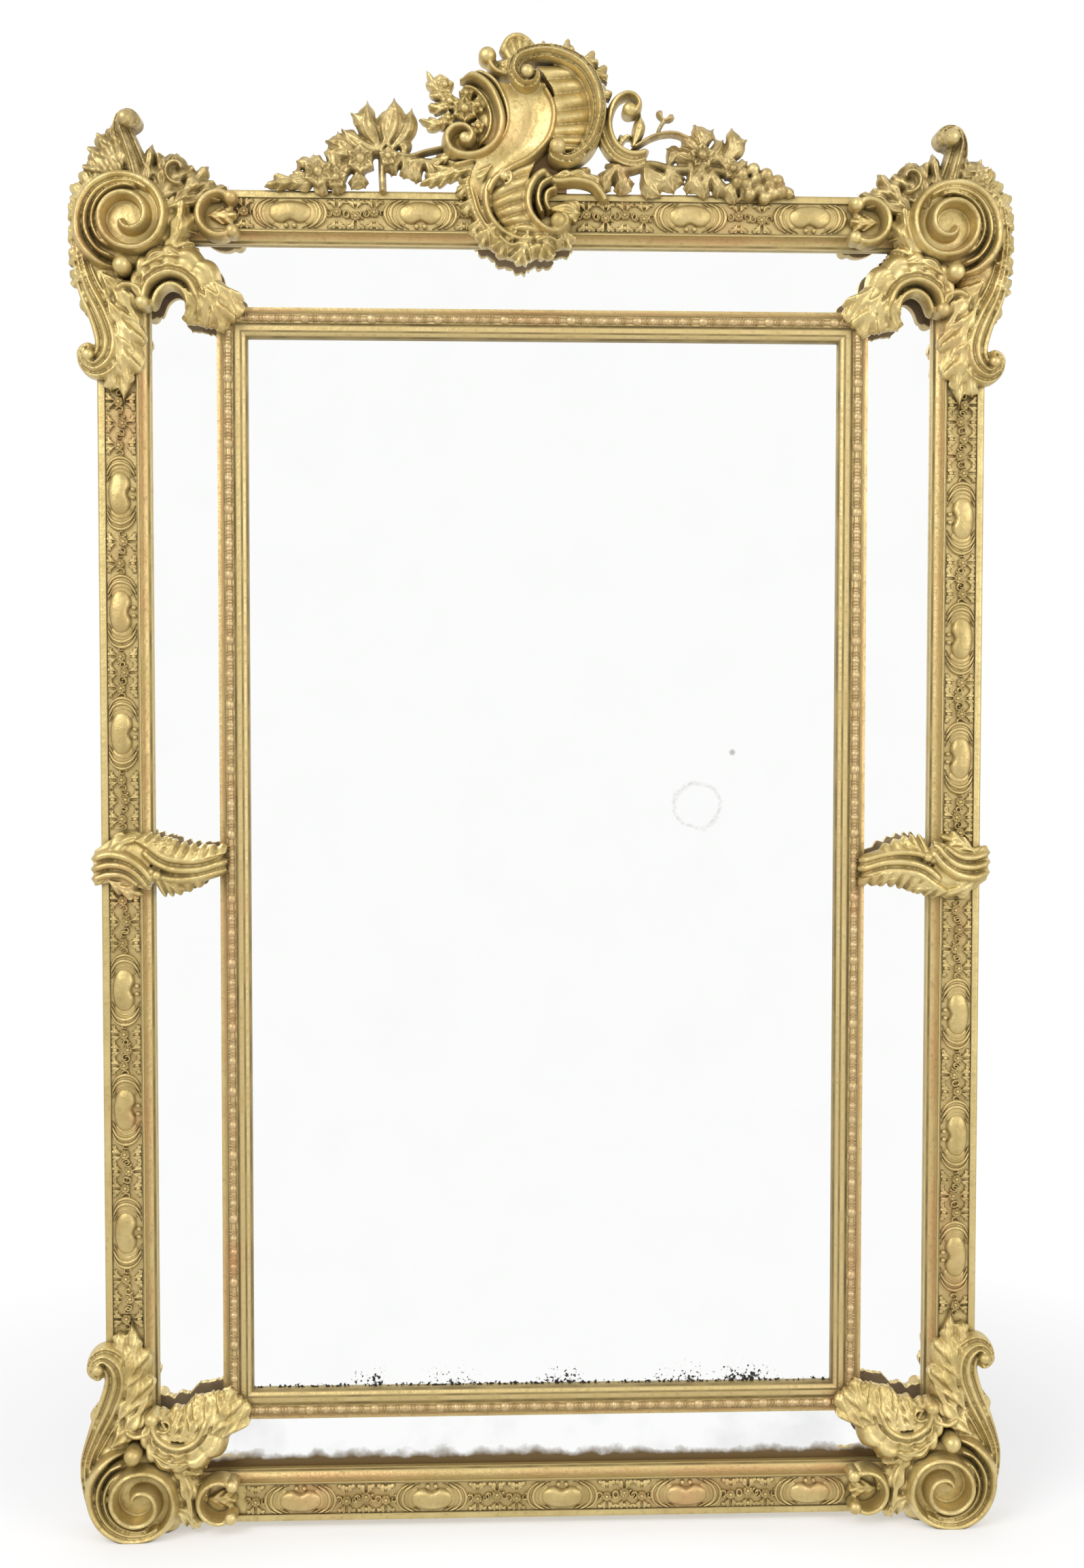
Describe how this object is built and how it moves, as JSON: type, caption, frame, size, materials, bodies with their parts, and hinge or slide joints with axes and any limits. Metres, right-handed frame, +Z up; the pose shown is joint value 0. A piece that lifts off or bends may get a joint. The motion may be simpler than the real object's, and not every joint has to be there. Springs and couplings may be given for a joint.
{
  "type": "overmantel mirror",
  "caption": "Tall gilt overmantel mirror with mirrored borders, ribboned oval friezes, scroll-and-shell corners and a pierced floral crest, with hanging rings behind.",
  "frame": {"origin": "middle of the box round the mirror, at the height of its feet", "axes": "+Z up, +X to the viewer's right, +Y back to the wall"},
  "size_m": [1.17, 0.1, 1.872],
  "materials": {
    "gilt_wood": "worn gold leaf on wood",
    "gilt_composition": "worn gold leaf on carved wood and pressed composition",
    "mirror_glass": "old silvered glass with some dark spots",
    "pine_back": "bare aged softwood",
    "iron": "dark oxidised iron"
  },
  "bodies": {
    "frame": {"stile_left": "gilt_wood", "stile_right": "gilt_wood", "rail_top": "gilt_wood", "rail_bottom": "gilt_wood", "inner_stile_left": "gilt_wood", "inner_stile_right": "gilt_wood", "inner_rail_top": "gilt_wood", "inner_rail_bottom": "gilt_wood", "frieze_top_left": "gilt_composition", "frieze_top_right": "gilt_composition", "frieze_bottom": "gilt_composition", "frieze_left_upper": "gilt_composition", "frieze_left_lower": "gilt_composition", "frieze_right_upper": "gilt_composition", "frieze_right_lower": "gilt_composition", "bead_strip_left": "gilt_composition", "bead_strip_right": "gilt_composition", "bead_strip_top": "gilt_composition", "bead_strip_bottom": "gilt_composition", "corner_volute_top_left": "gilt_composition", "corner_volute_top_right": "gilt_composition", "corner_volute_bottom_left": "gilt_composition", "corner_volute_bottom_right": "gilt_composition", "corner_shell_top_left": "gilt_composition", "corner_shell_top_right": "gilt_composition", "corner_shell_bottom_left": "gilt_composition", "corner_shell_bottom_right": "gilt_composition", "rail_clasp_top_left": "gilt_composition", "rail_clasp_top_right": "gilt_composition", "rail_clasp_bottom_left": "gilt_composition", "rail_clasp_bottom_right": "gilt_composition", "corner_finial_top_left": "gilt_composition", "corner_finial_top_right": "gilt_composition", "mid_clasp_left": "gilt_composition", "mid_clasp_right": "gilt_composition", "crest_cartouche": "gilt_composition", "crest_foot": "gilt_composition", "crest_scroll_left": "gilt_composition", "crest_scroll_right": "gilt_composition", "crest_garland_left": "gilt_composition", "crest_garland_right": "gilt_composition", "centre_plate": "mirror_glass", "border_plate_top": "mirror_glass", "border_plate_bottom": "mirror_glass", "border_plate_left_upper": "mirror_glass", "border_plate_left_lower": "mirror_glass", "border_plate_right_upper": "mirror_glass", "border_plate_right_lower": "mirror_glass", "crest_batten": "pine_back", "back_boards": "pine_back", "board_screws": "iron", "inner_frame_screws": "iron", "corner_irons": "iron", "corner_iron_screws": "iron", "hanger_plate_left": "iron", "hanger_plate_right": "iron", "hanger_screws": "iron"},
    "ring_left": {"hanger_ring_left": "iron"},
    "ring_right": {"hanger_ring_right": "iron"}
  },
  "joints": [
    {"name": "ring_left_swing", "type": "hinge", "parent": "frame", "child": "ring_left", "pos_m": [-0.536, 0.04345, 1.29], "axis": [1, 0, 0], "range_deg": [0, 150]},
    {"name": "ring_right_swing", "type": "hinge", "parent": "frame", "child": "ring_right", "pos_m": [0.536, 0.04345, 1.29], "axis": [1, 0, 0], "range_deg": [0, 150]}
  ]
}
